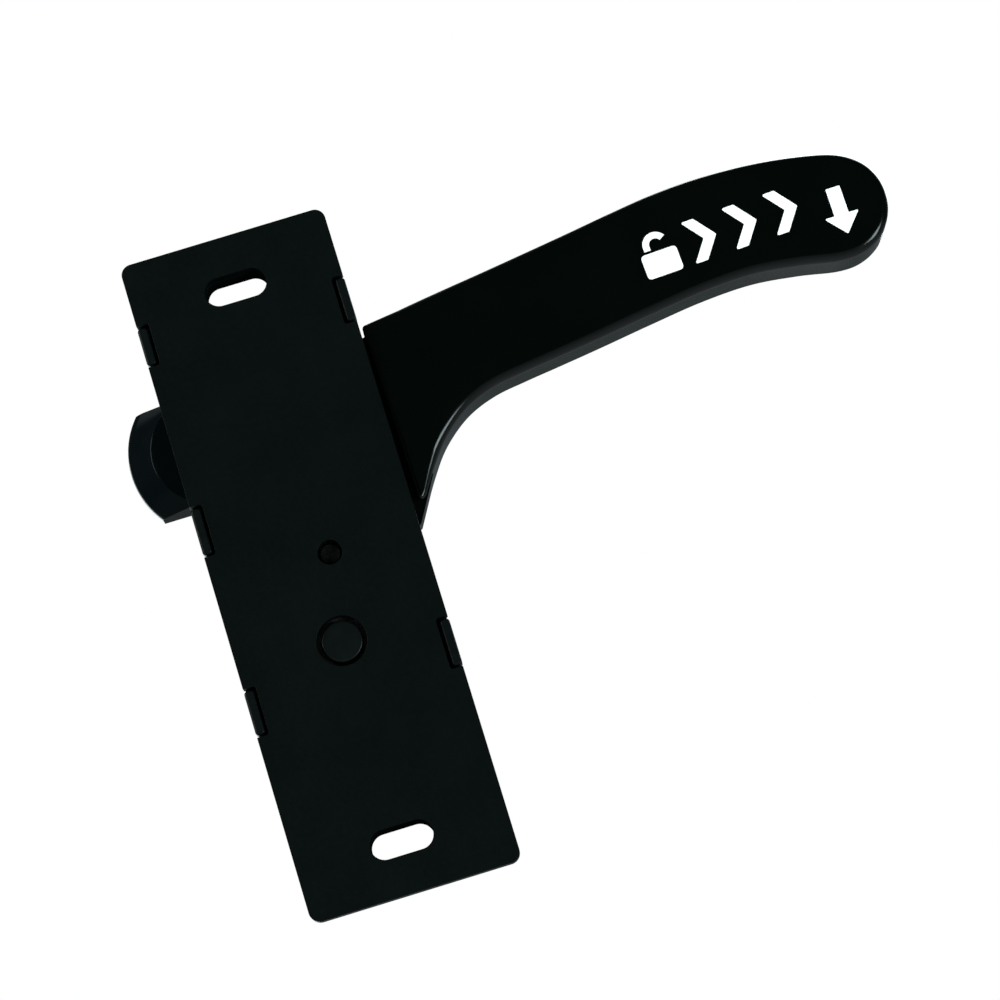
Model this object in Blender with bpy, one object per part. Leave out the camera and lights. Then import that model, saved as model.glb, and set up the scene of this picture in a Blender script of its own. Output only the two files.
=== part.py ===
"""Right-hand screen-door lever latch: back plate, snap-on cover, press-down lever,
sliding bolt and a quarter-turn lock.

Frame: the origin is the centre of the flat mounting face. +X runs towards the lever's
tip, +Z up the plate and +Y out of the mounting face into the housing.
Lengths in the constants are millimetres, and the meshes are built in metres.
"""

import math

import bmesh
import bpy
from mathutils import Vector, geometry

MM = 0.001

# Back plate
PLATE_W, PLATE_H, PLATE_T, PLATE_R = 44.3, 143.0, 3.0, 2.3
SLOT_L, SLOT_W = 13.2, 6.1
SLOT_X, SLOT_TOP_Z, SLOT_LOW_Z = 0.0, 60.25, -60.45
NOTCH_DEEP = 2.6
# Snap hooks in the plate's edge notches: side (-1 left, 1 right), low Z, high Z
HOOKS = ((-1, 49.0, 58.2), (-1, 7.0, 18.0), (-1, -32.0, -21.6), (1, 45.8, 56.3), (1, -30.2, -19.2))

# Lever pivot, drive pin on the lever, lock axis, bolt centre line (X, Z)
PIVOT = (2.85, 0.5)
DRIVE = (-1.5, 30.5)
LOCK = (0.0, -17.9)
BOLT_Z = 30.9
PIVOT_HOLE_R = 2.6
LOCK_HOLE_R = 5.25
GAP = 0.3

# Cover
COVER_W = 43.8
COVER_Z = (-69.6, 70.6)
COVER_Y0 = 3.3
PAD_Y1 = 8.6
HOUSE_Z = (-45.0, 49.6)
HOUSE_Y1 = 24.0
WALL = 2.4

# Lever
LEVER_Y = (1.2, 13.2)
ROOT_Y = (3.7, 9.3)
LEVER_FILLET = 2.0
LEVER_TOP = (
    (31.5, 46.1), (40.6, 47.4), (49.7, 48.6), (60.0, 50.03), (70.0, 51.46), (79.5, 52.9),
    (89.5, 54.2), (100.0, 54.72), (110.8, 54.3), (120.5, 53.0), (128.2, 51.1), (132.95, 48.05),
    (135.4, 44.1), (136.05, 39.8), (134.95, 35.25), (132.1, 31.3), (127.7, 28.97), (122.5, 28.63),
    (114.0, 30.2), (104.0, 31.33), (93.0, 30.87), (81.2, 29.37), (69.6, 27.7), (60.0, 26.43),
    (52.5, 25.48), (45.25, 24.3), (38.7, 21.7), (32.85, 17.1), (28.55, 11.65),
)
LEVER_CORNERS = ((24.7, 5.6), (23.5, 4.7), (22.7, 44.6))

# Bolt
BOLT_HALF = 11.5
BOLT_NEAR_Y, BOLT_BACK_Y = 4.6, 14.6
NOSE_X = -15.65
BODY_Y = (9.7, 16.0)
SPRING_Y = 12.9


def material(name, colour, rough, metal=0.0):
    made = bpy.data.materials.new(name)
    made.use_nodes = True
    shader = made.node_tree.nodes["Principled BSDF"]
    shader.inputs["Base Color"].default_value = (*colour, 1.0)
    shader.inputs["Roughness"].default_value = rough
    shader.inputs["Metallic"].default_value = metal
    made.diffuse_color = (*colour, 1.0)
    return made


def area(points):
    return 0.5 * sum(
        a[0] * b[1] - b[0] * a[1] for a, b in zip(points, points[1:] + points[:1])
    )


def inset(points, by):
    """The outline moved inwards by a distance, or by one distance for each corner."""
    out = []
    count = len(points)
    by = by if isinstance(by, list) else [by] * count
    for i in range(count):
        before, here, after = (Vector(points[(i + k) % count]) for k in (-1, 0, 1))
        a = (here - before).normalized()
        b = (after - here).normalized()
        na, nb = Vector((-a.y, a.x)), Vector((-b.y, b.x))
        middle = (na + nb).normalized()
        out.append(tuple(here + middle * (by[i] / max(middle.dot(na), 0.3))))
    return out


def add_object(name, bm, colour=None, origin=(0.0, 0.0, 0.0), smooth=None, parent=None):
    bmesh.ops.recalc_face_normals(bm, faces=bm.faces[:])
    for vertex in bm.verts:
        vertex.co = (vertex.co - Vector(origin)) * MM
    mesh = bpy.data.meshes.new(name)
    bm.to_mesh(mesh)
    bm.free()
    made = bpy.data.objects.new(name, mesh)
    bpy.context.scene.collection.objects.link(made)
    made.location = Vector(origin) * MM
    if colour is None:
        made.hide_render = True
        made.display_type = "WIRE"
    else:
        mesh.materials.append(colour)
    if smooth is not None:
        mesh.shade_smooth()
        mesh.set_sharp_from_angle(angle=math.radians(smooth))
    if parent is not None:
        made.parent = parent
        made.location = (Vector(origin) * MM) - parent.location
    return made


def slab(bm, outline, y0, y1, near=0.0, far=0.0, steps=5):
    """A closed solid between y0 and y1 on an X-Z outline, with its two rims rounded. A
    radius is one number, or a function of X and Z."""
    outline = [tuple(p) for p in outline]
    if area(outline) < 0:
        outline = outline[::-1]
    layers = []
    for radius, end, sign in ((near, y0, 1), (far, y1, -1)):
        rim = [radius(x, z) if callable(radius) else radius for x, z in outline]
        turns = [k / steps * math.pi / 2 for k in range(steps + 1)] if max(rim) else [math.pi / 2]
        made = [
            (
                [r * (1 - math.sin(turn)) for r in rim],
                [end + sign * r * (1 - math.cos(turn)) for r in rim],
            )
            for turn in turns
        ]
        layers += made if sign == 1 else made[::-1]
    rings = []
    for by, ys in layers:
        ring = inset(outline, by) if max(by) > 1e-9 else outline
        rings.append([bm.verts.new((x, y, z)) for (x, z), y in zip(ring, ys)])
    for low, high in zip(rings, rings[1:]):
        for i in range(len(low)):
            j = (i + 1) % len(low)
            bm.faces.new((low[i], low[j], high[j], high[i]))
    bm.faces.new(rings[0])
    bm.faces.new(rings[-1][::-1])
    return bm


def loft(bm, rings):
    """A closed solid through rings of equal length, each a list of points in space."""
    rings = [[bm.verts.new(p) for p in ring] for ring in rings]
    for low, high in zip(rings, rings[1:]):
        for i in range(len(low)):
            j = (i + 1) % len(low)
            bm.faces.new((low[i], low[j], high[j], high[i]))
    bm.faces.new(rings[0])
    bm.faces.new(rings[-1][::-1])
    return bm


def rounded_rect(x0, x1, z0, z1, r, steps=6):
    points = []
    for cx, cz, start in (
        (x1 - r, z1 - r, 0), (x0 + r, z1 - r, 90), (x0 + r, z0 + r, 180), (x1 - r, z0 + r, 270),
    ):
        for k in range(steps + 1):
            a = math.radians(start + 90 * k / steps)
            points.append((cx + r * math.cos(a), cz + r * math.sin(a)))
    return points


def circle(cx, cz, r, count=48):
    return [
        (cx + r * math.cos(2 * math.pi * i / count), cz + r * math.sin(2 * math.pi * i / count))
        for i in range(count)
    ]


def stadium(cx, cz, length, width, steps=12):
    r = width / 2
    half = length / 2 - r
    points = []
    for side, start in ((1, -90), (-1, 90)):
        for k in range(steps + 1):
            a = math.radians(start + 180 * k / steps)
            points.append((cx + side * half + r * math.cos(a), cz + r * math.sin(a)))
    return points


def hull(points):
    flat = [Vector(p) for p in points]
    return [tuple(flat[i]) for i in geometry.convex_hull_2d(flat)]


def smooth_run(points, spacing=1.6):
    """A Catmull-Rom run through the points, evenly stepped, ends included."""
    pts = [Vector(p) for p in points]
    pts = [pts[0] * 2 - pts[1]] + pts + [pts[-1] * 2 - pts[-2]]
    out = []
    for a, b, c, d in zip(pts, pts[1:], pts[2:], pts[3:]):
        count = max(2, round((c - b).length / spacing))
        for k in range(count):
            t = k / count
            out.append(
                tuple(
                    0.5
                    * (
                        2 * b
                        + (c - a) * t
                        + (2 * a - 5 * b + 4 * c - d) * t * t
                        + (3 * b - a - 3 * c + d) * t * t * t
                    )
                )
            )
    out.append(tuple(pts[-2]))
    return out


def box_outline(x0, x1, z0, z1):
    return [(x0, z0), (x1, z0), (x1, z1), (x0, z1)]


def solid(name, pieces, colour=None, origin=(0.0, 0.0, 0.0), smooth=None, parent=None):
    """One object made of the first piece. The others are joined or cut by Booleans."""
    base = None
    for number, (mode, outline, y0, y1, near, far) in enumerate(pieces):
        bm = slab(bmesh.new(), outline, y0, y1, near, far)
        if number == 0:
            base = add_object(name, bm, colour, origin, smooth, parent)
            continue
        tool = add_object(f"{name}_tool_{number:02d}", bm)
        boolean(base, tool, mode)
    return base


def boolean(base, tool, mode):
    step = base.modifiers.new(tool.name, "BOOLEAN")
    step.operation = mode
    step.solver = "EXACT"
    step.object = tool


def tube(bm, path, radius, around=10):
    """A closed round tube along a path, with flat ends."""
    points = [Vector(p) for p in path]
    tangents = []
    for i in range(len(points)):
        a = points[max(i - 1, 0)]
        b = points[min(i + 1, len(points) - 1)]
        tangents.append((b - a).normalized())
    side = tangents[0].orthogonal().normalized()
    rings = []
    for point, tangent in zip(points, tangents):
        side = (side - tangent * side.dot(tangent)).normalized()
        up = tangent.cross(side)
        rings.append(
            [
                point
                + side * (radius * math.cos(2 * math.pi * k / around))
                + up * (radius * math.sin(2 * math.pi * k / around))
                for k in range(around)
            ]
        )
    return loft(bm, rings)


def turned(bm, axis, profile, around=48):
    """A closed turned body about the line along Y through (X, Z). The profile is a closed
    run of (radius, y), which may touch radius 0 at its two ends."""
    rings = []
    for r, y in profile:
        if r < 1e-6:
            rings.append([bm.verts.new((axis[0], y, axis[1]))])
        else:
            rings.append([bm.verts.new((x, y, z)) for x, z in circle(*axis, r, around)])
    pairs = list(zip(rings, rings[1:]))
    if profile[0][0] > 1e-6:
        pairs.append((rings[-1], rings[0]))
    for low, high in pairs:
        for i in range(around):
            j = (i + 1) % around
            corners = []
            for vertex in (
                low[i % len(low)], low[j % len(low)], high[j % len(high)], high[i % len(high)],
            ):
                if vertex not in corners:
                    corners.append(vertex)
            if len(corners) > 2:
                bm.faces.new(corners)
    return bm


for old in list(bpy.data.objects):
    bpy.data.objects.remove(old, do_unlink=True)

BLACK = (0.011, 0.014, 0.0145)
plate_black = material("plate_matte_black", BLACK, 0.55)
cover_black = material("cover_matte_black", BLACK, 0.5)
lever_black = material("lever_gloss_black", (0.008, 0.009, 0.009), 0.18)
bolt_black = material("bolt_gloss_black", (0.009, 0.011, 0.013), 0.25)
knob_black = material("lock_black", (0.010, 0.011, 0.011), 0.3)
cam_grey = material("cam_acetal", (0.05, 0.05, 0.052), 0.45)
steel = material("zinc_steel", (0.56, 0.57, 0.58), 0.35, 1.0)
oxide = material("black_oxide_steel", (0.03, 0.03, 0.032), 0.4, 1.0)
spring_steel = material("spring_steel", (0.42, 0.43, 0.45), 0.3, 1.0)
bush_white = material("bush_acetal", (0.62, 0.61, 0.57), 0.5)
rubber = material("bumper_rubber", (0.02, 0.02, 0.02), 0.85)


def axis_empty(name, x, z):
    made = bpy.data.objects.new(name, None)
    made.empty_display_size = 0.01
    made.location = (x * MM, 0.0, z * MM)
    bpy.context.scene.collection.objects.link(made)
    return made


lever_axis = axis_empty("lever_axis", *PIVOT)
lock_axis = axis_empty("lock_axis", *LOCK)
bolt_axis = axis_empty("bolt_axis", -20.0, BOLT_Z)

# ---- Back plate ----
half_w, half_h = PLATE_W / 2, PLATE_H / 2
plate_pieces = [
    ("", rounded_rect(-half_w, half_w, -half_h, half_h, PLATE_R), 0.0, PLATE_T, 0.35, 0.35),
    ("DIFFERENCE", stadium(SLOT_X, SLOT_TOP_Z, SLOT_L, SLOT_W), -1, PLATE_T + 1, 0, 0),
    ("DIFFERENCE", stadium(SLOT_X, SLOT_LOW_Z, SLOT_L, SLOT_W), -1, PLATE_T + 1, 0, 0),
    ("DIFFERENCE", circle(*PIVOT, PIVOT_HOLE_R, 40), -1, PLATE_T + 1, 0, 0),
    ("DIFFERENCE", circle(*LOCK, LOCK_HOLE_R, 48), -1, PLATE_T + 1, 0, 0),
]
for side, low, high in HOOKS:
    x0, x1 = sorted((side * (half_w - NOTCH_DEEP), side * (half_w + 2)))
    plate_pieces.append(
        ("DIFFERENCE", rounded_rect(x0, x1, low, high, 0.5, 3), -1, PLATE_T + 1, 0, 0)
    )
solid("back_plate", plate_pieces, plate_black, smooth=30)


def split_near_face(made, xs, zs):
    """Divides the flat face at y = 0 along straight lines, so that the plain area beside
    the origin is one large flat panel, clear of the holes, slots and notches."""
    bm = bmesh.new()
    bm.from_mesh(made.data)
    for axis, values in ((0, xs), (2, zs)):
        for value in values:
            flat = [
                face for face in bm.faces
                if face.normal.y < -0.999 and all(abs(v.co.y) < 1e-7 for v in face.verts)
            ]
            edges = [e for e in bm.edges if any(face in flat for face in e.link_faces)]
            verts = [v for v in bm.verts if any(face in flat for face in v.link_faces)]
            point, normal = [0.0, 0.0, 0.0], [0.0, 0.0, 0.0]
            point[axis], normal[axis] = value * MM, 1.0
            bmesh.ops.bisect_plane(bm, geom=flat + edges + verts, plane_co=point, plane_no=normal)
    bm.to_mesh(made.data)
    bm.free()


split_near_face(bpy.data.objects["back_plate"], (-19.3, 0.2), (-12.4, 56.8))

# ---- Front cover, one moulding with its snap hooks ----
half_c = COVER_W / 2
cover_pieces = [
    ("", rounded_rect(-half_c, half_c, *COVER_Z, 3.0), COVER_Y0, PAD_Y1, 0, 1.0),
    ("UNION", rounded_rect(-half_c + 0.02, half_c - 0.02, *HOUSE_Z, 5.0), 4.0, HOUSE_Y1, 0, 3.0),
    (
        "DIFFERENCE",
        rounded_rect(-half_c + WALL, half_c - WALL, HOUSE_Z[0] + WALL, HOUSE_Z[1] - WALL, 3.0),
        COVER_Y0 - 1, HOUSE_Y1 - WALL, 0, 1.0,
    ),
    ("UNION", circle(*PIVOT, 4.3, 40), 14.6, HOUSE_Y1 - 1.0, 0, 0),
    ("DIFFERENCE", circle(*PIVOT, PIVOT_HOLE_R, 40), 13.0, HOUSE_Y1 - 2.6, 0, 0),
    ("DIFFERENCE", circle(*LOCK, 3.95, 48), 20.0, HOUSE_Y1 + 1, 0, 0),
    ("DIFFERENCE", stadium(SLOT_X, SLOT_TOP_Z, SLOT_L, SLOT_W), 2, PAD_Y1 + 1, 0, 0),
    ("DIFFERENCE", stadium(SLOT_X, SLOT_LOW_Z, SLOT_L, SLOT_W), 2, PAD_Y1 + 1, 0, 0),
    ("DIFFERENCE", box_outline(half_c - 4, half_c + 1, -8.5, 44.6), 2, 9.9, 0, 0),
    (
        "DIFFERENCE",
        box_outline(-half_c - 1, -half_c + 4, BOLT_Z - BOLT_HALF - 0.4, BOLT_Z + BOLT_HALF + 0.4),
        2, BOLT_BACK_Y + 0.4, 0, 0,
    ),
]
for side, low, high in HOOKS:
    x0, x1 = sorted((side * (half_w - NOTCH_DEEP + 0.6), side * (half_w + 0.1)))
    cover_pieces.append(
        ("UNION", rounded_rect(x0, x1, low + 0.5, high - 0.5, 0.7, 4), 0.4, 4.6, 0.55, 0)
    )
solid("front_cover", cover_pieces, cover_black, smooth=30)

# ---- Lever ----
def lever_rim(x, z):
    """The lever's edge radius: small beside the plate, and full 7 mm further out."""
    return min(LEVER_FILLET, 0.6 + 0.2 * max(0.0, x - 23.6))


run = smooth_run([LEVER_CORNERS[2]] + list(LEVER_TOP) + [LEVER_CORNERS[0]])
grip = run + [LEVER_CORNERS[1]]
root = hull(
    circle(*PIVOT, 8.0, 48)
    + circle(*DRIVE, 5.0, 32)
    + [(19.5, 42.6), (28.0, 43.2), (28.0, 10.6), (22.6, 1.3)]
)
lever_pieces = [
    ("", grip, *LEVER_Y, lever_rim, lever_rim),
    ("UNION", root, *ROOT_Y, 0, 0),
    ("UNION", rounded_rect(5.7, 9.3, -9.3, -3.0, 1.2, 4), *ROOT_Y, 0, 0),
    ("DIFFERENCE", circle(*PIVOT, 4.5, 48), 2, 11, 0, 0),
    ("DIFFERENCE", circle(*DRIVE, 2.3, 32), 2, 11, 0, 0),
]
solid(
    "lever_handle", lever_pieces, lever_black, (PIVOT[0], 0, PIVOT[1]), 35, lever_axis
)

# Bush in the lever's bore, spacer washer in front of it, and the pin through both
for name, profile, colour, parent in (
    ("lever_bush", ((2.9, 3.7), (4.2, 3.7), (4.2, 9.4), (2.9, 9.4)), bush_white, lever_axis),
    ("lever_spacer_washer", ((2.9, 9.8), (5.6, 9.8), (5.6, 10.6), (2.9, 10.6)), steel, None),
    (
        "lever_pivot_pin",
        ((0, 2.2), (2.0, 2.2), (2.3, 2.5), (2.3, 20.6), (2.0, 20.9), (0, 20.9)), oxide, None,
    ),
):
    add_object(
        name, turned(bmesh.new(), PIVOT, profile), colour, (PIVOT[0], 0, PIVOT[1]), 30, parent
    )
add_object(
    "bolt_drive_pin",
    turned(
        bmesh.new(), DRIVE,
        ((0, 4.0), (1.7, 4.0), (2.0, 4.3), (2.0, 15.2), (1.7, 15.5), (0, 15.5)), 32,
    ),
    steel, (PIVOT[0], 0, PIVOT[1]), 30, lever_axis,
)

# Torsion spring round the cover's pivot boss
coil = []
for k in range(0, 3 * 20 + 6):
    a = math.radians(18 * k)
    coil.append(
        (PIVOT[0] + 6.0 * math.cos(a), 11.6 + 1.15 * k / 20, PIVOT[1] + 6.0 * math.sin(a))
    )
start, end = Vector(coil[0]), Vector(coil[-1])
lead = [start + Vector((0, 0, -k)) for k in (12.5, 9.0, 6.0, 3.0)]
tail = [end + Vector((-k, 0, 0)) for k in (3.0, 7.0, 11.0, 15.0)]
add_object(
    "lever_return_spring",
    tube(bmesh.new(), [tuple(p) for p in lead] + coil + [tuple(p) for p in tail], 0.5),
    spring_steel, (PIVOT[0], 0, PIVOT[1]), 40,
)

# Rubber stop above the lever's arm
add_object(
    "lever_stop_bumper",
    slab(bmesh.new(), [(4.0, 38.9), (16.0, 42.45), (16.0, 46.7), (4.0, 46.7)], 4.0, 9.0, 0.4, 0.4),
    rubber, smooth=30,
)


# ---- Bolt ----
def bolt_ring(y, centre_z, r, trim=0.0, steps=18):
    """The head's outline at one depth: a round nose of radius r, cut off flat at the top
    and the bottom."""
    high, low = BOLT_Z + BOLT_HALF - trim, BOLT_Z - BOLT_HALF + trim
    start = math.asin(min(1.0, (high - centre_z) / r))
    end = math.asin(max(-1.0, (low - centre_z) / r))
    centre_x = NOSE_X + 0.22 * (r - 11.3)
    points = [(-14.9, y, high)]
    for k in range(steps + 1):
        a = start + (end - start) * k / steps
        points.append((centre_x - r * math.cos(a), y, centre_z + r * math.sin(a)))
    points += [(-14.9, y, low)]
    return points


head = loft(
    bmesh.new(),
    [
        bolt_ring(BOLT_NEAR_Y, 30.2, 11.4, 0.5),
        bolt_ring(BOLT_NEAR_Y + 0.15, 30.2, 11.7, 0.2),
        bolt_ring(BOLT_NEAR_Y + 0.5, 30.2, 12.0),
        bolt_ring(9.0, 30.5, 16.9),
        bolt_ring(9.4, 30.5, 17.45),
        bolt_ring(9.8, 30.55, 17.85),
        bolt_ring(10.3, 30.6, 18.2),
        bolt_ring(11.0, 30.6, 18.4),
        bolt_ring(BOLT_BACK_Y - 0.12, 30.6, 18.4),
        bolt_ring(BOLT_BACK_Y, 30.6, 18.28, 0.1),
    ],
)
bolt = add_object("latch_bolt", head, bolt_black, (-20.0, 0, BOLT_Z), 35, bolt_axis)
for number, (mode, outline, y0, y1) in enumerate(
    (
        ("UNION", rounded_rect(-17.5, 3.5, BOLT_Z - 10.4, BOLT_Z + 10.4, 1.5, 4), *BODY_Y),
        (
            "DIFFERENCE",
            rounded_rect(DRIVE[0] - 2.5, DRIVE[0] + 2.5, DRIVE[1] - 3.6, DRIVE[1] + 3.6, 1.0, 4),
            8.0, 18.0,
        ),
    )
):
    boolean(bolt, add_object(f"latch_bolt_tool_{number}", slab(bmesh.new(), outline, y0, y1)), mode)
nose = bmesh.new()
loft(
    nose,
    [
        [
            (x, SPRING_Y + r * math.cos(math.tau * k / 24), BOLT_Z + r * math.sin(math.tau * k / 24))
            for k in range(24)
        ]
        for x, r in ((2.0, 1.6), (7.6, 1.6), (8.0, 1.2))
    ],
)
boolean(bolt, add_object("latch_bolt_tool_2", nose), "UNION")

# Compression spring between the bolt and the cover's side wall
turns, per_turn = 6.0, 16
wire, mean_r, x0, x1 = 0.35, 2.55, 4.3, 18.7
path = []
for k in range(int(turns * per_turn) + 1):
    t = k / (turns * per_turn)
    a = math.tau * turns * t
    path.append((x0 + (x1 - x0) * t, SPRING_Y + mean_r * math.cos(a), BOLT_Z + mean_r * math.sin(a)))
add_object("bolt_spring", tube(bmesh.new(), path, wire, 8), spring_steel, smooth=40)

# ---- Quarter-turn lock ----
lock_origin = (LOCK[0], 0, LOCK[1])
add_object(
    "lock_shaft",
    turned(
        bmesh.new(), LOCK,
        (
            (0, 0.9), (3.85, 0.9), (4.2, 1.04), (4.35, 1.4), (4.35, 3.3), (3.6, 3.3), (3.6, 16.6),
            (6.2, 16.6),
            (6.2, 19.3), (3.6, 19.3), (3.6, 26.6), (0, 26.6),
        ),
    ),
    knob_black, lock_origin, 30, lock_axis,
)
arm = hull(circle(*LOCK, 5.7, 40) + circle(LOCK[0] - 7.9, LOCK[1], 2.4, 24))
solid(
    "lock_cam",
    [("", arm, 3.7, 8.6, 0.3, 0.3), ("DIFFERENCE", circle(*LOCK, 3.95, 48), 3, 10, 0, 0)],
    cam_grey, lock_origin, 30, lock_axis,
)
ring = []
for k in range(25):
    a = math.radians(25 + 310 * k / 24)
    ring.append((LOCK[0] + 5.4 * math.cos(a), LOCK[1] + 5.4 * math.sin(a)))
for k in range(24, -1, -1):
    a = math.radians(25 + 310 * k / 24)
    ring.append((LOCK[0] + 3.95 * math.cos(a), LOCK[1] + 3.95 * math.sin(a)))
add_object(
    "lock_retaining_ring", slab(bmesh.new(), ring, 9.0, 9.8), steel, lock_origin, 30, lock_axis
)
add_object(
    "lock_spring_washer",
    turned(bmesh.new(), LOCK, ((3.95, 20.6), (6.3, 19.75), (6.3, 20.15), (3.95, 21.0))),
    spring_steel, lock_origin, 30,
)
knob = add_object(
    "lock_thumb_turn",
    turned(
        bmesh.new(), LOCK,
        ((0, 24.5), (8.6, 24.5), (9.0, 24.9), (9.0, 26.4), (8.4, 27.2), (7.4, 27.6), (0, 27.6)), 56,
    ),
    knob_black, lock_origin, 30, lock_axis,
)
boolean(
    knob,
    add_object(
        "lock_thumb_turn_tool_0",
        slab(bmesh.new(), stadium(LOCK[0], LOCK[1], 15.6, 4.6), 26.6, 33.4, 0, 1.3),
    ),
    "UNION",
)
boolean(
    knob,
    add_object("lock_thumb_turn_tool_1", slab(bmesh.new(), circle(*LOCK, 3.9, 48), 24.0, 26.95)),
    "DIFFERENCE",
)
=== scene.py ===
import math

import bmesh
import bpy
from mathutils import Matrix, Vector, geometry


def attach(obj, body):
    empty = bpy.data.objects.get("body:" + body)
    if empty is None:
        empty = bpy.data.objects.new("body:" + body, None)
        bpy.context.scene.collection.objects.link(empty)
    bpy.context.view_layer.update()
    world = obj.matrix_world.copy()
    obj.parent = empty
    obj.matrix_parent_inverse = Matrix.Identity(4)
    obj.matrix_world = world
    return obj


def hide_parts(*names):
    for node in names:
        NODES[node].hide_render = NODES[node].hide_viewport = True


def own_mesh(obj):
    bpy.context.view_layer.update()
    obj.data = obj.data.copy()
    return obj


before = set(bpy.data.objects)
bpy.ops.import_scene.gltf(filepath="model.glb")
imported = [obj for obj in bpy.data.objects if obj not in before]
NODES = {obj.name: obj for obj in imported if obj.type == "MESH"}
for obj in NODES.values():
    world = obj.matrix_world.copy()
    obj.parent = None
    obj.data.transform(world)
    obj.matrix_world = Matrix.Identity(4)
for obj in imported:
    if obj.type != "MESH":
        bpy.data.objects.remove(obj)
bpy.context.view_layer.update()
MM = 0.001

# ---------------------------------------------------------------- sizes, in millimetres
PLATE_W, PLATE_H, PLATE_T, PLATE_R = 44.3, 143.0, 3.0, 2.3
SLOT_L, SLOT_W = 13.2, 6.1
SLOT_X, SLOT_TOP_Z, SLOT_LOW_Z = 0.0, 60.25, -60.45
NOTCH_DEEP = 2.6
HOOKS = ((-1, 49.0, 58.2), (-1, 7.0, 18.0), (-1, -32.0, -21.6), (1, 45.8, 56.3), (1, -30.2, -19.2))
PIVOT, DRIVE, LOCK, BOLT_Z = (2.85, 0.5), (-1.5, 30.5), (0.0, -17.9), 30.9
PIVOT_HOLE_R, LOCK_HOLE_R = 2.6, 5.25
COVER_W, COVER_Z, COVER_Y0, PAD_Y1 = 43.8, (-69.6, 70.6), 3.3, 8.6
HOUSE_Z, HOUSE_Y1, WALL = (-45.0, 49.6), 24.0, 2.4
LEVER_Y, ROOT_Y, LEVER_FILLET = (1.2, 13.2), (3.7, 9.3), 2.0
LEVER_TOP = (
    (31.5, 46.1), (40.6, 47.4), (49.7, 48.6), (60.0, 50.03), (70.0, 51.46), (79.5, 52.9),
    (89.5, 54.2), (100.0, 54.72), (110.8, 54.3), (120.5, 53.0), (128.2, 51.1), (132.95, 48.05),
    (135.4, 44.1), (136.05, 39.8), (134.95, 35.25), (132.1, 31.3), (127.7, 28.97), (122.5, 28.63),
    (114.0, 30.2), (104.0, 31.33), (93.0, 30.87), (81.2, 29.37), (69.6, 27.7), (60.0, 26.43),
    (52.5, 25.48), (45.25, 24.3), (38.7, 21.7), (32.85, 17.1), (28.55, 11.65),
)
LEVER_CORNERS = ((24.7, 5.6), (23.5, 4.7), (22.7, 44.6))
BOLT_HALF, BOLT_NEAR_Y, BOLT_BACK_Y = 11.5, 4.6, 14.6
BODY_Y, SPRING_Y, NOSE_X = (9.7, 16.0), 12.9, -15.65


# ---------------------------------------------------------------- materials
def nodes_of(name):
    made = bpy.data.materials.new(name)
    made.use_nodes = True
    tree = made.node_tree
    shader = tree.nodes["Principled BSDF"]
    where = tree.nodes.new("ShaderNodeTexCoord").outputs["Object"]
    return made, tree, shader, where


def noise(tree, where, scale, detail=3.0, rough=0.5, stretch=None):
    if stretch is not None:
        mapping = tree.nodes.new("ShaderNodeMapping")
        mapping.inputs["Scale"].default_value = stretch
        tree.links.new(where, mapping.inputs["Vector"])
        where = mapping.outputs["Vector"]
    made = tree.nodes.new("ShaderNodeTexNoise")
    made.inputs["Scale"].default_value = scale
    made.inputs["Detail"].default_value = detail
    made.inputs["Roughness"].default_value = rough
    tree.links.new(where, made.inputs["Vector"])
    return made.outputs["Fac"]


def ramp(tree, value, low, high, at=(0.3, 0.7)):
    made = tree.nodes.new("ShaderNodeValToRGB")
    made.color_ramp.elements[0].position = at[0]
    made.color_ramp.elements[1].position = at[1]
    made.color_ramp.elements[0].color = (*low, 1.0)
    made.color_ramp.elements[1].color = (*high, 1.0)
    tree.links.new(value, made.inputs["Fac"])
    return made.outputs["Color"]


def spread(tree, value, low, high, at=(0.3, 0.7)):
    made = tree.nodes.new("ShaderNodeMapRange")
    made.inputs["From Min"].default_value = at[0]
    made.inputs["From Max"].default_value = at[1]
    made.inputs["To Min"].default_value = low
    made.inputs["To Max"].default_value = high
    tree.links.new(value, made.inputs["Value"])
    return made.outputs["Result"]


def bumps(tree, shader, layers):
    """Chained bump nodes: (height socket, strength, distance in metres)."""
    before = None
    for height, strength, distance in layers:
        made = tree.nodes.new("ShaderNodeBump")
        made.inputs["Strength"].default_value = strength
        made.inputs["Distance"].default_value = distance
        tree.links.new(height, made.inputs["Height"])
        if before is not None:
            tree.links.new(before, made.inputs["Normal"])
        before = made.outputs["Normal"]
    tree.links.new(before, shader.inputs["Normal"])


def moulded(name, low, high, rough, grain=1.0, spec=0.5):
    """Moulded black plastic: cloudy tone, fine spark-eroded grain, uneven sheen."""
    made, tree, shader, where = nodes_of(name)
    cloud = noise(tree, where, 60.0, 4.0, 0.6)
    tree.links.new(ramp(tree, cloud, low, high), shader.inputs["Base Color"])
    sheen = noise(tree, where, 900.0, 3.0, 0.55)
    tree.links.new(spread(tree, sheen, rough[0], rough[1]), shader.inputs["Roughness"])
    shader.inputs["Specular IOR Level"].default_value = spec
    bumps(
        tree, shader,
        (
            (noise(tree, where, 5200.0, 2.0, 0.6), 0.35 * grain, 0.00005),
            (noise(tree, where, 220.0, 2.0, 0.5), 0.10 * grain, 0.0002),
        ),
    )
    return made


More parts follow.
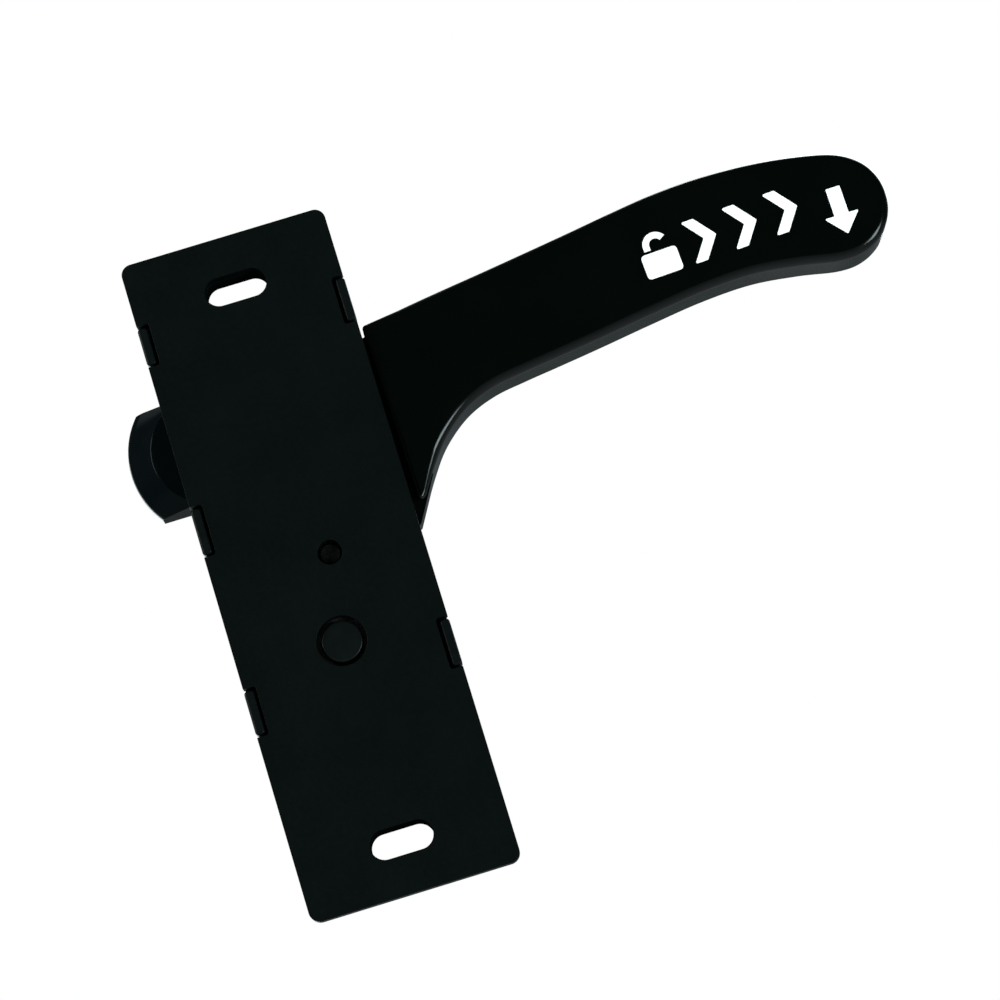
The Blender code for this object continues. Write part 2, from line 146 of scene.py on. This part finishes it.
def glossy(name, low, high, rough, peel=1.0, spec=0.5):
    """Polished black moulding: faint orange peel and hairline variation in its shine."""
    made, tree, shader, where = nodes_of(name)
    tree.links.new(ramp(tree, noise(tree, where, 45.0, 3.0), low, high), shader.inputs["Base Color"])
    tree.links.new(
        spread(tree, noise(tree, where, 260.0, 5.0, 0.65), rough[0], rough[1]),
        shader.inputs["Roughness"],
    )
    shader.inputs["Specular IOR Level"].default_value = spec
    bumps(
        tree, shader,
        (
            (noise(tree, where, 130.0, 1.0, 0.4), 0.05 * peel, 0.0003),
            (noise(tree, where, 2600.0, 2.0, 0.5), 0.04 * peel, 0.00003),
        ),
    )
    return made


def metal(name, low, high, rough, stretch):
    """Plated or drawn steel, with fine lines along one direction."""
    made, tree, shader, where = nodes_of(name)
    shader.inputs["Metallic"].default_value = 1.0
    lines = noise(tree, where, 700.0, 4.0, 0.6, stretch)
    tree.links.new(ramp(tree, lines, low, high), shader.inputs["Base Color"])
    tree.links.new(spread(tree, lines, rough[0], rough[1]), shader.inputs["Roughness"])
    bumps(tree, shader, ((lines, 0.12, 0.00004),))
    return made


PLATE = moulded("plate_moulded_black", (0.0014, 0.0028, 0.0025), (0.0023, 0.0038, 0.0034), (0.36, 0.48), 1.0, 0.037)
COVER = moulded("cover_moulded_black", (0.0020, 0.0034, 0.0033), (0.0032, 0.0046, 0.0045), (0.34, 0.46), 1.0, 0.045)
LEVER = glossy("lever_polished_black", (0.0007, 0.0015, 0.0012), (0.0012, 0.0021, 0.0018), (0.12, 0.17), 1.0, 0.125)
BOLT = glossy("bolt_polished_black", (0.0010, 0.0022, 0.0026), (0.0018, 0.0032, 0.0036), (0.16, 0.24), 1.0, 0.028)
LOCKS = glossy("lock_satin_black", (0.0018, 0.0032, 0.0030), (0.0030, 0.0044, 0.0042), (0.24, 0.36), 1.0, 0.14)
# Painted shade: a darker black with no reflection, laid on faces that fall in shade (the screw slots' walls, the
# lever's edge beside the plate).
PAINTED_SHADE = moulded("painted_shade_black", (0.0012, 0.0018, 0.0018), (0.0020, 0.0028, 0.0028), (0.7, 0.85), 1.0, 0.0)
CAM = moulded("cam_grey_acetal", (0.020, 0.021, 0.022), (0.030, 0.031, 0.032), (0.36, 0.5))
BUSH = moulded("bush_white_acetal", (0.55, 0.54, 0.50), (0.64, 0.63, 0.59), (0.38, 0.5))
ZINC = metal("zinc_plated_steel", (0.50, 0.51, 0.53), (0.64, 0.65, 0.67), (0.22, 0.38), (1, 1, 6))
OXIDE = metal("black_oxide_steel", (0.020, 0.021, 0.023), (0.032, 0.033, 0.035), (0.34, 0.5), (6, 1, 6))
WIRE = metal("drawn_spring_wire", (0.34, 0.35, 0.37), (0.50, 0.51, 0.53), (0.2, 0.34), (5, 5, 1))
RUBBER = moulded("stop_rubber", (0.008, 0.008, 0.008), (0.014, 0.014, 0.014), (0.75, 0.92), 1.6, 0.35)
INK = moulded("white_marking_ink", (0.90, 0.90, 0.90), (0.95, 0.95, 0.95), (0.42, 0.55), 0.4)


# ---------------------------------------------------------------- mesh helpers
def area(points):
    return 0.5 * sum(a[0] * b[1] - b[0] * a[1] for a, b in zip(points, points[1:] + points[:1]))


def inset(points, by):
    out = []
    count = len(points)
    by = by if isinstance(by, list) else [by] * count
    for i in range(count):
        before, here, after = (Vector(points[(i + k) % count]) for k in (-1, 0, 1))
        a = (here - before).normalized()
        b = (after - here).normalized()
        na, nb = Vector((-a.y, a.x)), Vector((-b.y, b.x))
        middle = (na + nb).normalized()
        out.append(tuple(here + middle * (by[i] / max(middle.dot(na), 0.3))))
    return out


def loft(bm, rings):
    rings = [[bm.verts.new(p) for p in ring] for ring in rings]
    for low, high in zip(rings, rings[1:]):
        for i in range(len(low)):
            j = (i + 1) % len(low)
            bm.faces.new((low[i], low[j], high[j], high[i]))
    bm.faces.new(rings[0])
    bm.faces.new(rings[-1][::-1])
    return bm


def slab(outline, y0, y1, near=0.0, far=0.0, steps=8, support=0.0):
    """A closed solid on an X-Z outline. near and far round its rims, each one number or a
    function of X and Z. support adds a ring just inside each flat face, so that its
    shading stays flat."""
    outline = [tuple(p) for p in outline]
    if area(outline) < 0:
        outline = outline[::-1]
    layers = []
    for radius, end, sign in ((near, y0, 1), (far, y1, -1)):
        rim = [radius(x, z) if callable(radius) else radius for x, z in outline]
        turns = [k / steps * math.pi / 2 for k in range(steps + 1)] if max(rim) else [math.pi / 2]
        made = [([r + support for r in rim], [end] * len(rim))] if support else []
        made += [
            (
                [r * (1 - math.sin(turn)) for r in rim],
                [end + sign * r * (1 - math.cos(turn)) for r in rim],
            )
            for turn in turns
        ]
        layers += made if sign == 1 else made[::-1]
    return loft(
        bmesh.new(),
        [
            [
                (x, y, z)
                for (x, z), y in zip(inset(outline, by) if max(by) > 1e-9 else outline, ys)
            ]
            for by, ys in layers
        ],
    )


def rounded_rect(x0, x1, z0, z1, r, steps=8):
    points = []
    for cx, cz, start in (
        (x1 - r, z1 - r, 0), (x0 + r, z1 - r, 90), (x0 + r, z0 + r, 180), (x1 - r, z0 + r, 270),
    ):
        for k in range(steps + 1):
            a = math.radians(start + 90 * k / steps)
            points.append((cx + r * math.cos(a), cz + r * math.sin(a)))
    return points


def circle(cx, cz, r, count=72):
    return [
        (cx + r * math.cos(math.tau * i / count), cz + r * math.sin(math.tau * i / count))
        for i in range(count)
    ]


def stadium(cx, cz, length, width, steps=20):
    r = width / 2
    half = length / 2 - r
    points = []
    for side, start in ((1, -90), (-1, 90)):
        for k in range(steps + 1):
            a = math.radians(start + 180 * k / steps)
            points.append((cx + side * half + r * math.cos(a), cz + r * math.sin(a)))
    return points


def hull(points):
    flat = [Vector(p) for p in points]
    return [tuple(flat[i]) for i in geometry.convex_hull_2d(flat)]


def smooth_run(points, spacing):
    pts = [Vector(p) for p in points]
    pts = [pts[0] * 2 - pts[1]] + pts + [pts[-1] * 2 - pts[-2]]
    out = []
    for a, b, c, d in zip(pts, pts[1:], pts[2:], pts[3:]):
        count = max(2, round((c - b).length / spacing))
        for k in range(count):
            t = k / count
            out.append(
                tuple(
                    0.5
                    * (2 * b + (c - a) * t + (2 * a - 5 * b + 4 * c - d) * t * t
                       + (3 * b - a - 3 * c + d) * t * t * t)
                )
            )
    out.append(tuple(pts[-2]))
    return out


def box_outline(x0, x1, z0, z1):
    return [(x0, z0), (x1, z0), (x1, z1), (x0, z1)]


def round_corner(before, corner, after, r, steps=6):
    """Points of an arc that rounds one corner of an outline."""
    c = Vector(corner)
    a = (Vector(before) - c).normalized()
    b = (Vector(after) - c).normalized()
    half = a.angle(b) / 2
    reach = r / math.tan(half)
    centre = c + (a + b).normalized() * (r / math.sin(half))
    p, q = c + a * reach - centre, c + b * reach - centre
    turn = p.angle(q)
    sign = 1 if p.cross(q) > 0 else -1
    out = []
    for k in range(steps + 1):
        t = sign * turn * k / steps
        out.append(
            (
                centre.x + p.x * math.cos(t) - p.y * math.sin(t),
                centre.y + p.x * math.sin(t) + p.y * math.cos(t),
            )
        )
    return out


def place(name, bm, colour, smooth=35.0):
    bmesh.ops.recalc_face_normals(bm, faces=bm.faces[:])
    for vertex in bm.verts:
        vertex.co *= MM
    mesh = bpy.data.meshes.new(name)
    bm.to_mesh(mesh)
    bm.free()
    made = bpy.data.objects.new(name, mesh)
    bpy.context.scene.collection.objects.link(made)
    if colour is not None:
        mesh.materials.append(colour)
    mesh.shade_smooth()
    mesh.set_sharp_from_angle(angle=math.radians(smooth))
    return made


def carve(base, steps, edge=0.0, limit=32.0, segments=3, smooth=35.0):
    """Joins and cuts the tools, rounds the edges that are left sharp, and bakes it all."""
    tools = []
    for number, (mode, bm) in enumerate(steps):
        tool = place(f"{base.name}_tool_{number:02d}", bm, None)
        tools.append(tool)
        change = base.modifiers.new(tool.name, "BOOLEAN")
        change.operation = mode
        change.solver = "EXACT"
        change.object = tool
    if edge:
        weld = base.modifiers.new("weld", "WELD")
        weld.merge_threshold = 0.000004
        bevel = base.modifiers.new("edges", "BEVEL")
        bevel.width = edge * MM
        bevel.segments = segments
        bevel.limit_method = "ANGLE"
        bevel.angle_limit = math.radians(limit)
        bevel.use_clamp_overlap = True
        bevel.harden_normals = False
    bpy.context.view_layer.update()
    graph = bpy.context.evaluated_depsgraph_get()
    baked = bpy.data.meshes.new_from_object(base.evaluated_get(graph), depsgraph=graph)
    base.modifiers.clear()
    base.data = baked
    for tool in tools:
        bpy.data.objects.remove(tool, do_unlink=True)
    baked.shade_smooth()
    baked.set_sharp_from_angle(angle=math.radians(smooth))
    weighted = base.modifiers.new("flat_faces", "WEIGHTED_NORMAL")
    weighted.weight = 100
    weighted.keep_sharp = True
    return base


def tube(path, radius, around=16):
    points = [Vector(p) for p in path]
    tangents = [
        (points[min(i + 1, len(points) - 1)] - points[max(i - 1, 0)]).normalized()
        for i in range(len(points))
    ]
    side = tangents[0].orthogonal().normalized()
    rings = []
    for point, tangent in zip(points, tangents):
        side = (side - tangent * side.dot(tangent)).normalized()
        up = tangent.cross(side)
        rings.append(
            [
                point + side * (radius * math.cos(math.tau * k / around))
                + up * (radius * math.sin(math.tau * k / around))
                for k in range(around)
            ]
        )
    return loft(bmesh.new(), rings)


def turned(axis, profile, around=96):
    bm = bmesh.new()
    rings = []
    for r, y in profile:
        if r < 1e-6:
            rings.append([bm.verts.new((axis[0], y, axis[1]))])
        else:
            rings.append([bm.verts.new((x, y, z)) for x, z in circle(*axis, r, around)])
    pairs = list(zip(rings, rings[1:]))
    if profile[0][0] > 1e-6:
        pairs.append((rings[-1], rings[0]))
    for low, high in pairs:
        for i in range(around):
            j = (i + 1) % around
            corners = []
            for vertex in (low[i % len(low)], low[j % len(low)], high[j % len(high)], high[i % len(high)]):
                if vertex not in corners:
                    corners.append(vertex)
            if len(corners) > 2:
                bm.faces.new(corners)
    return bm


def stands_for(piece, node, body):
    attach(piece, body)
    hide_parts(node)
    return piece


def paint_slot_shade(piece):
    """Paints shade on the screw slots' walls: they get a darker black with no reflection; the flat faces round them do
    not.
    """
    piece.data.materials.append(PAINTED_SHADE)
    for face in piece.data.polygons:
        x, z = face.center.x / MM, face.center.z / MM
        for middle in (SLOT_TOP_Z, SLOT_LOW_Z):
            inside = abs(x - SLOT_X) < SLOT_L / 2 + 0.5 and abs(z - middle) < SLOT_W / 2 + 0.5
            if inside and abs(face.normal.y) < 0.9:
                face.material_index = 1


# ---------------------------------------------------------------- back plate
hw, hh = PLATE_W / 2, PLATE_H / 2
plate = place("plate_shell", slab(rounded_rect(-hw, hw, -hh, hh, PLATE_R, 10), 0.0, PLATE_T), PLATE)
cuts = [
    ("DIFFERENCE", slab(stadium(SLOT_X, SLOT_TOP_Z, SLOT_L, SLOT_W), -1, PLATE_T + 1)),
    ("DIFFERENCE", slab(stadium(SLOT_X, SLOT_LOW_Z, SLOT_L, SLOT_W), -1, PLATE_T + 1)),
    ("DIFFERENCE", slab(circle(*PIVOT, PIVOT_HOLE_R), -1, PLATE_T + 1)),
    ("DIFFERENCE", slab(circle(*LOCK, LOCK_HOLE_R), -1, PLATE_T + 1)),
]
for side, low, high in HOOKS:
    x0, x1 = sorted((side * (hw - NOTCH_DEEP), side * (hw + 2)))
    cuts.append(("DIFFERENCE", slab(rounded_rect(x0, x1, low, high, 0.5, 4), -1, PLATE_T + 1)))
carve(plate, cuts, 0.35)
paint_slot_shade(stands_for(plate, "back_plate", "housing"))

# ---------------------------------------------------------------- front cover
hc = COVER_W / 2
cover = place("cover_shell", slab(rounded_rect(-hc, hc, *COVER_Z, 3.0), COVER_Y0, PAD_Y1, 0, 1.0, 5), COVER)
parts = [
    ("UNION", slab(rounded_rect(-hc + 0.02, hc - 0.02, *HOUSE_Z, 5.0, 12), 4.0, HOUSE_Y1, 0, 3.0, 8)),
    (
        "DIFFERENCE",
        slab(
            rounded_rect(-hc + WALL, hc - WALL, HOUSE_Z[0] + WALL, HOUSE_Z[1] - WALL, 3.0),
            COVER_Y0 - 1, HOUSE_Y1 - WALL, 0, 1.0, 4,
        ),
    ),
    ("UNION", slab(circle(*PIVOT, 4.3), 14.6, HOUSE_Y1 - 1.0)),
    ("DIFFERENCE", slab(circle(*PIVOT, PIVOT_HOLE_R), 13.0, HOUSE_Y1 - 2.6)),
    ("DIFFERENCE", slab(circle(*LOCK, 3.95), 20.0, HOUSE_Y1 + 1)),
    ("DIFFERENCE", slab(stadium(SLOT_X, SLOT_TOP_Z, SLOT_L, SLOT_W), 2, PAD_Y1 + 1)),
    ("DIFFERENCE", slab(stadium(SLOT_X, SLOT_LOW_Z, SLOT_L, SLOT_W), 2, PAD_Y1 + 1)),
    ("DIFFERENCE", slab(box_outline(hc - 4, hc + 1, -8.5, 44.6), 2, 9.9)),
    (
        "DIFFERENCE",
        slab(
            box_outline(-hc - 1, -hc + 4, BOLT_Z - BOLT_HALF - 0.4, BOLT_Z + BOLT_HALF + 0.4),
            2, BOLT_BACK_Y + 0.4,
        ),
    ),
]
for side, low, high in HOOKS:
    x0, x1 = sorted((side * (hw - NOTCH_DEEP + 0.6), side * (hw + 0.1)))
    parts.append(("UNION", slab(rounded_rect(x0, x1, low + 0.5, high - 0.5, 0.7, 6), 0.4, 4.6, 0.55, 0, 6)))
carve(cover, parts, 0.25)
paint_slot_shade(stands_for(cover, "front_cover", "housing"))

# ---------------------------------------------------------------- lever
def lever_rim(x, z):
    return min(LEVER_FILLET, 0.6 + 0.2 * max(0.0, x - 23.6))


run = smooth_run([LEVER_CORNERS[2]] + list(LEVER_TOP) + [LEVER_CORNERS[0]], 0.7)
grip = (
    round_corner(LEVER_CORNERS[1], LEVER_CORNERS[2], run[3], 0.8)
    + run[3:-2]
    + round_corner(run[-3], LEVER_CORNERS[1], LEVER_CORNERS[2], 0.8)
)
root = hull(
    circle(*PIVOT, 8.0) + circle(*DRIVE, 5.0, 48)
    + [(19.5, 42.6), (28.0, 43.2), (28.0, 10.6), (22.6, 1.3)]
)
lever = place("lever_body", slab(grip, *LEVER_Y, lever_rim, lever_rim, 10, 0.25), LEVER)
carve(
    lever,
    [
        ("UNION", slab(root, *ROOT_Y)),
        ("UNION", slab(rounded_rect(5.7, 9.3, -9.3, -3.0, 1.2), *ROOT_Y)),
        ("DIFFERENCE", slab(circle(*PIVOT, 4.5), 2, 11)),
        ("DIFFERENCE", slab(circle(*DRIVE, 2.3), 2, 11)),
    ],
)
stands_for(lever, "lever_handle", "lever")
lever.data.materials.append(PAINTED_SHADE)
for face in lever.data.polygons:
    # The edge beside the plate gets painted shade: a darker black with no reflection, which hides its highlight.
    if face.center.x < 25.2 * MM and face.normal.x < -0.3:
        face.material_index = 1


# ---------------------------------------------------------------- white marks on the lever
MARK_Y = (1.165, 1.23)


def mark(name, outlines):
    """Flat ink shapes that stand a few hundredths of a millimetre proud of the lever."""
    bm = bmesh.new()
    for outline in outlines:
        outline = list(outline)
        if area(outline) < 0:
            outline = outline[::-1]
        loft(bm, [[(x, y, z) for x, z in outline] for y in MARK_Y])
    piece = place(name, bm, INK, 30)
    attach(piece, "lever")
    return piece


def turn_at(points, centre, degrees, scale=1.0):
    a = math.radians(degrees)
    return [
        (
            centre[0] + scale * (x * math.cos(a) - z * math.sin(a)),
            centre[1] + scale * (x * math.sin(a) + z * math.cos(a)),
        )
        for x, z in points
    ]


def soften(points, r, steps=4):
    out = []
    count = len(points)
    for i in range(count):
        out += round_corner(points[i - 1], points[i], points[(i + 1) % count], r, steps)
    return out


def arc_band(cx, cz, r0, r1, start, end, steps=24):
    outer = [
        (cx + r1 * math.cos(math.radians(start + (end - start) * k / steps)),
         cz + r1 * math.sin(math.radians(start + (end - start) * k / steps)))
        for k in range(steps + 1)
    ]
    inner = [
        (cx + r0 * math.cos(math.radians(start + (end - start) * k / steps)),
         cz + r0 * math.sin(math.radians(start + (end - start) * k / steps)))
        for k in range(steps, -1, -1)
    ]
    return outer + inner


SLANT = 2.6
chevron = [(-3.0, 4.7), (-0.2, 4.7), (3.3, 0.0), (-0.2, -4.7), (-3.0, -4.7), (0.5, 0.0)]
for number, centre in enumerate(((95.9, 41.45), (104.9, 41.85), (113.9, 42.2))):
    mark(f"mark_chevron_{number + 1}", [turn_at(soften(chevron, 0.28), centre, SLANT)])
mark(
    "mark_open_lock",
    [
        turn_at(soften([(-3.9, -4.7), (3.9, -4.7), (3.9, 0.7), (-3.9, 0.7)], 0.8), (86.5, 41.0), SLANT),
        turn_at(
            arc_band(0.0, 2.15, 1.35, 2.75, 30, 180, 24)[:25] + [(-2.75, 1.3), (-1.35, 1.3)]
            + arc_band(0.0, 2.15, 1.35, 2.75, 30, 180, 24)[25:],
            (86.5, 41.0), SLANT,
        ),
    ],
)
arrow = [(-1.6, 5.4), (1.6, 5.4), (1.6, -0.9), (3.9, -0.9), (0.0, -5.4), (-3.9, -0.9), (-1.6, -0.9)]
mark("mark_arrow", [turn_at(soften(arrow, 0.22), (125.45, 38.65), 0.5, 0.97)])


# ---------------------------------------------------------------- bolt
def bolt_ring(y, centre_z, r, trim=0.0, steps=36):
    """The head's outline at one depth: a round nose of radius r, cut off flat at the top
    and the bottom."""
    high, low = BOLT_Z + BOLT_HALF - trim, BOLT_Z - BOLT_HALF + trim
    start = math.asin(min(1.0, (high - centre_z) / r))
    end = math.asin(max(-1.0, (low - centre_z) / r))
    centre_x = NOSE_X + 0.22 * (r - 11.3)
    points = [(-14.9, y, high)]
    for k in range(steps + 1):
        a = start + (end - start) * k / steps
        points.append((centre_x - r * math.cos(a), y, centre_z + r * math.sin(a)))
    points += [(-14.9, y, low)]
    return points


head = loft(
    bmesh.new(),
    [
        bolt_ring(BOLT_NEAR_Y, 30.2, 11.4, 0.5),
        bolt_ring(BOLT_NEAR_Y + 0.15, 30.2, 11.7, 0.2),
        bolt_ring(BOLT_NEAR_Y + 0.5, 30.2, 12.0),
        bolt_ring(9.0, 30.5, 16.9),
        bolt_ring(9.4, 30.5, 17.45),
        bolt_ring(9.8, 30.55, 17.85),
        bolt_ring(10.3, 30.6, 18.2),
        bolt_ring(11.0, 30.6, 18.4),
        bolt_ring(BOLT_BACK_Y - 0.12, 30.6, 18.4),
        bolt_ring(BOLT_BACK_Y, 30.6, 18.28, 0.1),
    ],
)
bolt = place("bolt_body", head, BOLT)
nose = loft(
    bmesh.new(),
    [
        [
            (x, SPRING_Y + r * math.cos(math.tau * k / 32), BOLT_Z + r * math.sin(math.tau * k / 32))
            for k in range(32)
        ]
        for x, r in ((2.0, 1.6), (7.6, 1.6), (8.0, 1.2))
    ],
)
carve(
    bolt,
    [
        ("UNION", slab(rounded_rect(-17.5, 3.5, BOLT_Z - 10.4, BOLT_Z + 10.4, 1.5), *BODY_Y)),
        (
            "DIFFERENCE",
            slab(
                rounded_rect(DRIVE[0] - 2.5, DRIVE[0] + 2.5, DRIVE[1] - 3.6, DRIVE[1] + 3.6, 1.0),
                8.0, 18.0,
            ),
        ),
        ("UNION", nose),
    ],
    0.1,
)
stands_for(bolt, "latch_bolt", "bolt")

# ---------------------------------------------------------------- lock
shaft = place(
    "lock_spindle",
    turned(
        LOCK,
        (
            (0, 0.9), (3.80, 0.9), (4.0, 0.935), (4.17, 1.03), (4.3, 1.2), (4.35, 1.42), (4.35, 3.3),
            (3.6, 3.3), (3.6, 16.6), (6.2, 16.6), (6.2, 19.3), (3.6, 19.3), (3.6, 26.6), (0, 26.6),
        ),
    ),
    LOCKS,
)
stands_for(shaft, "lock_shaft", "lock")

knob = place(
    "lock_knob",
    turned(
        LOCK,
        (
            (0, 24.5), (8.6, 24.5), (8.88, 24.62), (9.0, 24.9), (9.0, 26.2), (8.85, 26.75),
            (8.45, 27.2), (7.9, 27.48), (7.2, 27.6), (0, 27.6),
        ),
    ),
    LOCKS,
)
carve(
    knob,
    [
        ("UNION", slab(stadium(LOCK[0], LOCK[1], 15.6, 4.6), 26.6, 33.4, 0, 1.3, 8)),
        ("DIFFERENCE", slab(circle(*LOCK, 3.9), 24.0, 26.95)),
    ],
    0.25,
)
stands_for(knob, "lock_thumb_turn", "lock")

# ---------------------------------------------------------------- springs, finer than the solids
coil = []
for k in range(0, 3 * 48 + 14):
    a = math.radians(7.5 * k)
    coil.append((PIVOT[0] + 6.0 * math.cos(a), 11.6 + 1.15 * k / 48, PIVOT[1] + 6.0 * math.sin(a)))
first, last = Vector(coil[0]), Vector(coil[-1])
lead = [tuple(first + Vector((0, 0, -k))) for k in (12.5, 9.0, 6.0, 3.0, 1.2)]
tail = [tuple(last + Vector((-k, 0, 0))) for k in (1.2, 3.0, 7.0, 11.0, 15.0)]
stands_for(
    place("return_spring_coil", tube(lead + coil + tail, 0.5), WIRE, 60),
    "lever_return_spring", "housing",
)
turns, per_turn, x0, x1 = 6.0, 40, 4.3, 18.7
path = []
for k in range(int(turns * per_turn) + 1):
    t = k / (turns * per_turn)
    a = math.tau * turns * t
    path.append((x0 + (x1 - x0) * t, SPRING_Y + 2.55 * math.cos(a), BOLT_Z + 2.55 * math.sin(a)))
bolt_coil = place("bolt_spring_coil", tube(path, 0.35, 12), WIRE, 60)
stands_for(bolt_coil, "bolt_spring", "housing")
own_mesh(bolt_coil)

# ---------------------------------------------------------------- the nodes that stay
for node, colour in (
    ("lever_bush", BUSH), ("lever_pivot_pin", OXIDE), ("lever_spacer_washer", ZINC),
    ("lever_stop_bumper", RUBBER), ("bolt_drive_pin", ZINC), ("lock_cam", CAM),
    ("lock_retaining_ring", ZINC), ("lock_spring_washer", WIRE),
):
    NODES[node].data.materials.clear()
    NODES[node].data.materials.append(colour)


# ---------------------------------------------------------------- floor, light and camera
def plane(name, size, z, colour):
    bm = bmesh.new()
    bmesh.ops.create_grid(bm, x_segments=8, y_segments=8, size=size / 2)
    mesh = bpy.data.meshes.new(name)
    bm.to_mesh(mesh)
    bm.free()
    mesh.materials.append(colour)
    made = bpy.data.objects.new(name, mesh)
    made.location = (0.05, 0, z)
    bpy.context.scene.collection.objects.link(made)
    return made


pale, tree, shader, where = nodes_of("studio_floor")
tree.links.new(ramp(tree, noise(tree, where, 3.0), (0.80, 0.82, 0.83), (0.84, 0.86, 0.87)), shader.inputs["Base Color"])
shader.inputs["Roughness"].default_value = 0.9
shader.inputs["Emission Color"].default_value = (0.94, 0.98, 1.0, 1.0)
shader.inputs["Emission Strength"].default_value = 0.32
plane("studio_floor", 6.0, -0.80, pale)

world = bpy.data.worlds.new("studio")
bpy.context.scene.world = world
world.use_nodes = True
wt = world.node_tree
wt.nodes.clear()
out = wt.nodes.new("ShaderNodeOutputWorld")
mix = wt.nodes.new("ShaderNodeMixShader")
rays = wt.nodes.new("ShaderNodeLightPath")
seen = wt.nodes.new("ShaderNodeBackground")
seen.inputs["Color"].default_value = (1, 1, 1, 1)
seen.inputs["Strength"].default_value = 1.0
room = wt.nodes.new("ShaderNodeBackground")
place_in = wt.nodes.new("ShaderNodeTexCoord")
parts_of = wt.nodes.new("ShaderNodeSeparateXYZ")
wt.links.new(place_in.outputs["Generated"], parts_of.inputs["Vector"])
back = wt.nodes.new("ShaderNodeMapRange")
back.inputs["From Min"].default_value = -0.35
back.inputs["From Max"].default_value = 0.75
back.inputs["To Min"].default_value = 0.012
back.inputs["To Max"].default_value = 0.145
wt.links.new(parts_of.outputs["Y"], back.inputs["Value"])
room.inputs["Color"].default_value = (0.80, 0.96, 1.0, 1)
wt.links.new(back.outputs["Result"], room.inputs["Strength"])
wt.links.new(rays.outputs["Is Camera Ray"], mix.inputs["Fac"])
wt.links.new(room.outputs["Background"], mix.inputs[1])
wt.links.new(seen.outputs["Background"], mix.inputs[2])
wt.links.new(mix.outputs["Shader"], out.inputs["Surface"])

AIM = Vector((0.05, 0.005, 0.01))


def softbox(name, at, size, watts, colour=(1, 1, 1), aim=AIM):
    data = bpy.data.lights.new(name, "AREA")
    data.shape = "RECTANGLE"
    data.size, data.size_y = size
    data.energy = watts
    data.color = colour
    data.spread = math.radians(80)
    made = bpy.data.objects.new(name, data)
    made.location = at
    made.rotation_euler = (Vector(aim) - Vector(at)).to_track_quat("-Z", "Y").to_euler()
    bpy.context.scene.collection.objects.link(made)
    return made


softbox("key_left", (-1.25, -0.62, 0.55), (0.9, 0.9), 8.6)
softbox("fill_right", (0.95, -0.80, -0.50), (0.5, 0.5), 3.8, (0.82, 0.98, 1.0))
softbox("front_key", (0.80, 0.90, 0.75), (1.3, 1.1), 9.0, (0.90, 0.98, 1.0))
softbox("front_fill", (-0.60, 1.10, -0.10), (0.9, 1.1), 3.0, (0.90, 0.98, 1.0))
softbox("top_strip", (-0.35, 0.33, 1.05), (0.9, 0.3), 0.2, (0.82, 0.95, 1.0))

camera = bpy.data.cameras.new("photo_camera")
camera.sensor_width = 36.0
camera.lens = 126.0
camera.clip_start, camera.clip_end = 0.01, 50.0
eye = bpy.data.objects.new("photo_camera", camera)
right = Vector((0.955972, 0.02361, -0.292508))
up = Vector((0.291188, -0.200087, 0.935508))
backward = Vector((-0.03644, -0.979494, -0.198152))
basis = Matrix((right, up, backward)).transposed().to_4x4()
eye.matrix_world = Matrix.Translation((0.013203, -0.70477, -0.142081)) @ basis
bpy.context.scene.collection.objects.link(eye)
bpy.context.scene.camera = eye
bpy.context.scene.view_settings.view_transform = "Standard"


bpy.context.view_layer.update()
